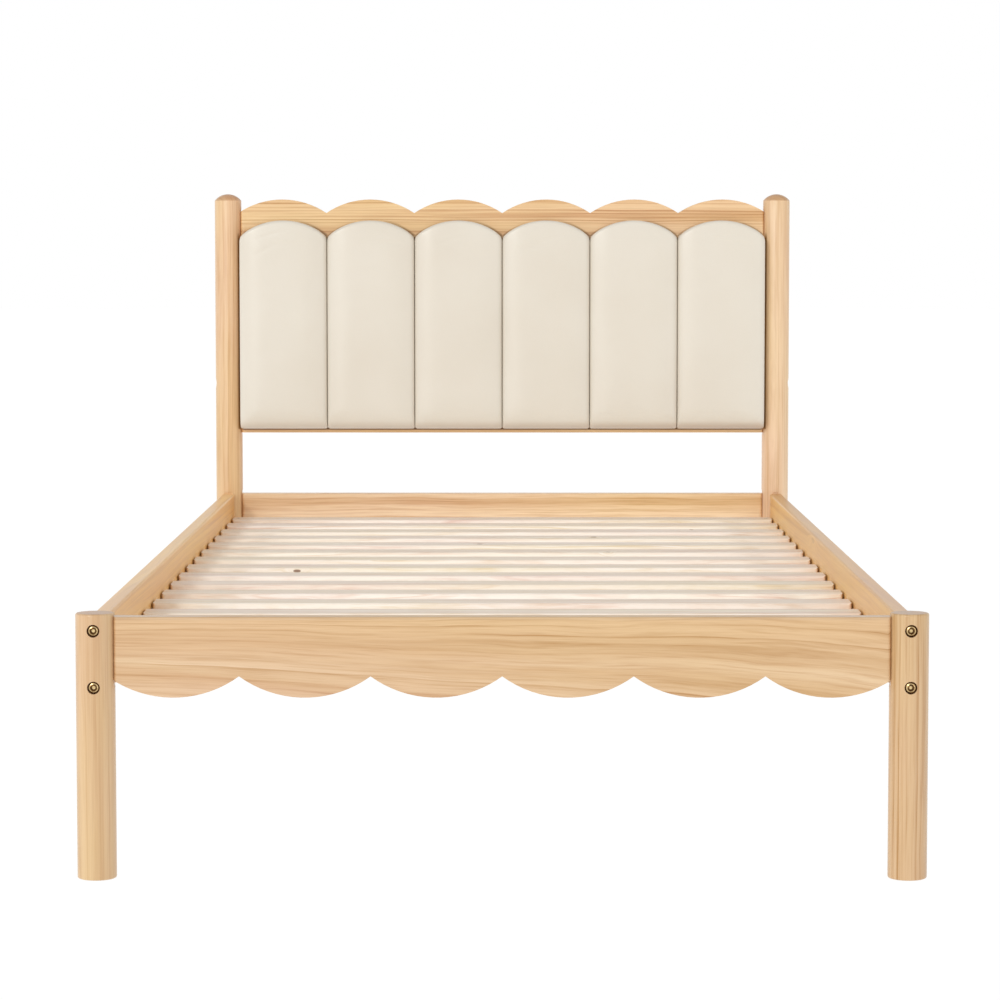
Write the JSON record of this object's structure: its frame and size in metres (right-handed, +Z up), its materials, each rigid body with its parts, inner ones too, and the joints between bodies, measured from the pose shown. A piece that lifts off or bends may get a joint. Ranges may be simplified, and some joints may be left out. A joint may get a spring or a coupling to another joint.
{
  "type": "upholstered single bed",
  "caption": "Single bed frame in pale pine with round posts, a scalloped foot rail, slats, and a scalloped headboard with arched leatherette pads.",
  "frame": {"origin": "on the floor, in the middle of the rectangle that the four posts' outer faces bound", "axes": "+Z up, +Y from the foot end towards the headboard, +X to the right seen from the foot end"},
  "size_m": [0.975, 1.99, 0.806],
  "materials": {
    "pine": "satin",
    "pine_ledger": "matte",
    "pine_slat": "matte",
    "webbing": "matte",
    "plywood": "matte",
    "foam": "matte",
    "leatherette": "satin",
    "beech": "matte",
    "antique_brass": "satin",
    "zinc": "satin"
  },
  "bodies": {
    "root": {"foot_post_left": "pine", "foot_post_right": "pine", "head_post_left": "pine", "head_post_right": "pine", "foot_rail": "pine", "head_rail": "pine", "headboard_panel": "pine", "side_rail_left": "pine", "side_rail_right": "pine", "slat_ledger_left": "pine_ledger", "slat_ledger_right": "pine_ledger", "slat_01": "pine_slat", "slat_02": "pine_slat", "slat_03": "pine_slat", "slat_04": "pine_slat", "slat_05": "pine_slat", "slat_06": "pine_slat", "slat_07": "pine_slat", "slat_08": "pine_slat", "slat_09": "pine_slat", "slat_10": "pine_slat", "slat_11": "pine_slat", "slat_12": "pine_slat", "slat_13": "pine_slat", "slat_14": "pine_slat", "slat_15": "pine_slat", "slat_16": "pine_slat", "slat_strap_left": "webbing", "slat_strap_right": "webbing", "pad_board_1": "plywood", "pad_board_2": "plywood", "pad_board_3": "plywood", "pad_board_4": "plywood", "pad_board_5": "plywood", "pad_board_6": "plywood", "pad_foam_1": "foam", "pad_foam_2": "foam", "pad_foam_3": "foam", "pad_foam_4": "foam", "pad_foam_5": "foam", "pad_foam_6": "foam", "pad_cover_1": "leatherette", "pad_cover_2": "leatherette", "pad_cover_3": "leatherette", "pad_cover_4": "leatherette", "pad_cover_5": "leatherette", "pad_cover_6": "leatherette", "foot_rail_dowels": "beech", "head_rail_dowels": "beech", "panel_dowels": "beech", "rail_bolts_foot": "antique_brass", "rail_bolts_head": "antique_brass", "panel_bolts": "antique_brass", "rail_inserts_foot": "zinc", "rail_inserts_head": "zinc", "panel_inserts": "zinc", "ledger_screws": "zinc", "slat_screws": "zinc", "strap_staples": "zinc", "pad_screws": "zinc"}
  },
  "joints": []
}
